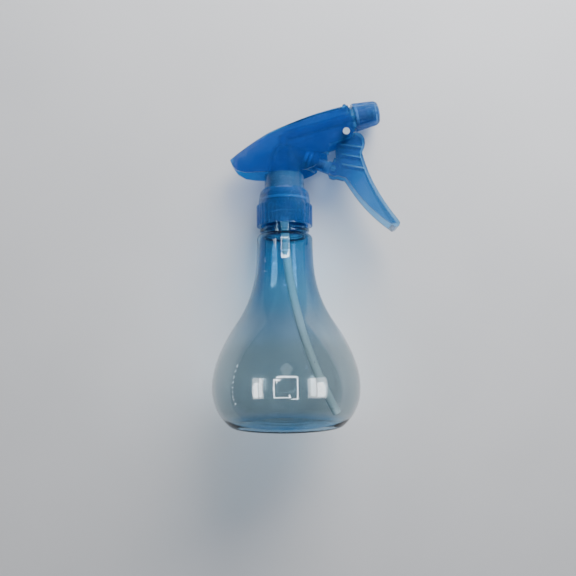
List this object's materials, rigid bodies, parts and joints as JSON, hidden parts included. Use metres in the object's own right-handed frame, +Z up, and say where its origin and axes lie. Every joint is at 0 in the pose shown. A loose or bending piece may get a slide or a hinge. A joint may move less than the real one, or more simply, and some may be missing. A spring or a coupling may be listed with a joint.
{
  "type": "trigger spray bottle",
  "caption": "Gourd-shaped clear bottle with a screw-on trigger sprayer: ribbed closure, swivelling pump head, wedge-shaped shroud, pull trigger and adjustable screw nozzle.",
  "frame": {"origin": "centre of the bottle's foot, on the plane it stands on", "axes": "+Z up along the bottle's axis, +X towards the nozzle, +Y to the left of the spray direction"},
  "size_m": [0.1094, 0.085, 0.1916],
  "materials": {
    "tinted_bottle": "blue-tinted clear plastic, glossy, deeper at neck and foot",
    "deep_blue": "deep blue moulded plastic, slightly translucent, soft gloss",
    "mid_blue": "mid blue translucent moulded plastic, soft gloss",
    "pale_blue": "pale blue translucent moulded plastic, soft gloss",
    "milky": "milky translucent plastic",
    "soft_seal": "soft pale elastomer",
    "steel": "bright drawn steel",
    "white": "white moulded plastic, satin"
  },
  "bodies": {
    "bottle": {"bottle": "tinted_bottle"},
    "gasket": {"neck_gasket": "soft_seal"},
    "closure": {"closure": "deep_blue"},
    "head": {"valve_carrier": "pale_blue", "dip_tube": "milky", "stem_seal": "soft_seal", "ball_cage": "milky", "pump_housing": "deep_blue", "shroud": "deep_blue", "pivot_pin": "white", "nozzle_core": "milky", "return_spring": "steel", "outlet_spring": "steel"},
    "trigger": {"trigger": "mid_blue"},
    "piston": {"piston": "mid_blue", "cup_seal": "soft_seal", "vent_seal": "soft_seal"},
    "inlet_ball": {"inlet_ball": "steel"},
    "outlet_valve": {"outlet_valve": "milky"},
    "nozzle_seal": {"nozzle_seal": "soft_seal"},
    "nozzle_cap": {"nozzle_cap": "mid_blue"}
  },
  "joints": [
    {"name": "closure_rise", "type": "slide", "parent": "bottle", "child": "gasket", "axis": [0, 0, 1], "range_m": [0, 0.00635]},
    {"name": "closure_turn", "type": "hinge", "parent": "gasket", "child": "closure", "pos_m": [0, 0, 0.1158], "axis": [0, 0, 1], "range_deg": [0, 540]},
    {"name": "head_swivel", "type": "hinge", "parent": "gasket", "child": "head", "pos_m": [0, 0, 0.13185], "axis": [0, 0, -1], "continuous": true},
    {"name": "trigger_pull", "type": "hinge", "parent": "head", "child": "trigger", "pos_m": [0.0368, 0, 0.1707], "axis": [0, 1, 0], "range_deg": [0, 18], "stiffness_Nm_per_rad": 0.4, "springref_deg": -10.31},
    {"name": "piston_stroke", "type": "slide", "parent": "head", "child": "piston", "axis": [-0.9239, 0, 0.3827], "range_m": [0, 0.0071], "deforming": ["return_spring"]},
    {"name": "inlet_ball_lift", "type": "slide", "parent": "head", "child": "inlet_ball", "axis": [0, 0, 1], "range_m": [0, 0.001]},
    {"name": "outlet_valve_lift", "type": "slide", "parent": "head", "child": "outlet_valve", "axis": [0.9763, 0, 0.2164], "range_m": [0, 0.001], "stiffness_N_per_m": 100, "springref_m": -0.002, "deforming": ["outlet_spring"]},
    {"name": "nozzle_advance", "type": "slide", "parent": "head", "child": "nozzle_seal", "axis": [0.9763, 0, 0.2164], "range_m": [0, 0.00225]},
    {"name": "nozzle_turn", "type": "hinge", "parent": "nozzle_seal", "child": "nozzle_cap", "pos_m": [0.042, 0, 0.1818], "axis": [0.9763, 0, 0.2164], "range_deg": [0, 270]}
  ],
  "couplings": [
    {"joint": "closure_turn", "follows": "closure_rise", "rad_per_m": 1484.3},
    {"joint": "piston_stroke", "follows": "trigger_pull", "m_per_rad": 0.0223},
    {"joint": "nozzle_turn", "follows": "nozzle_advance", "rad_per_m": 2094.4}
  ]
}
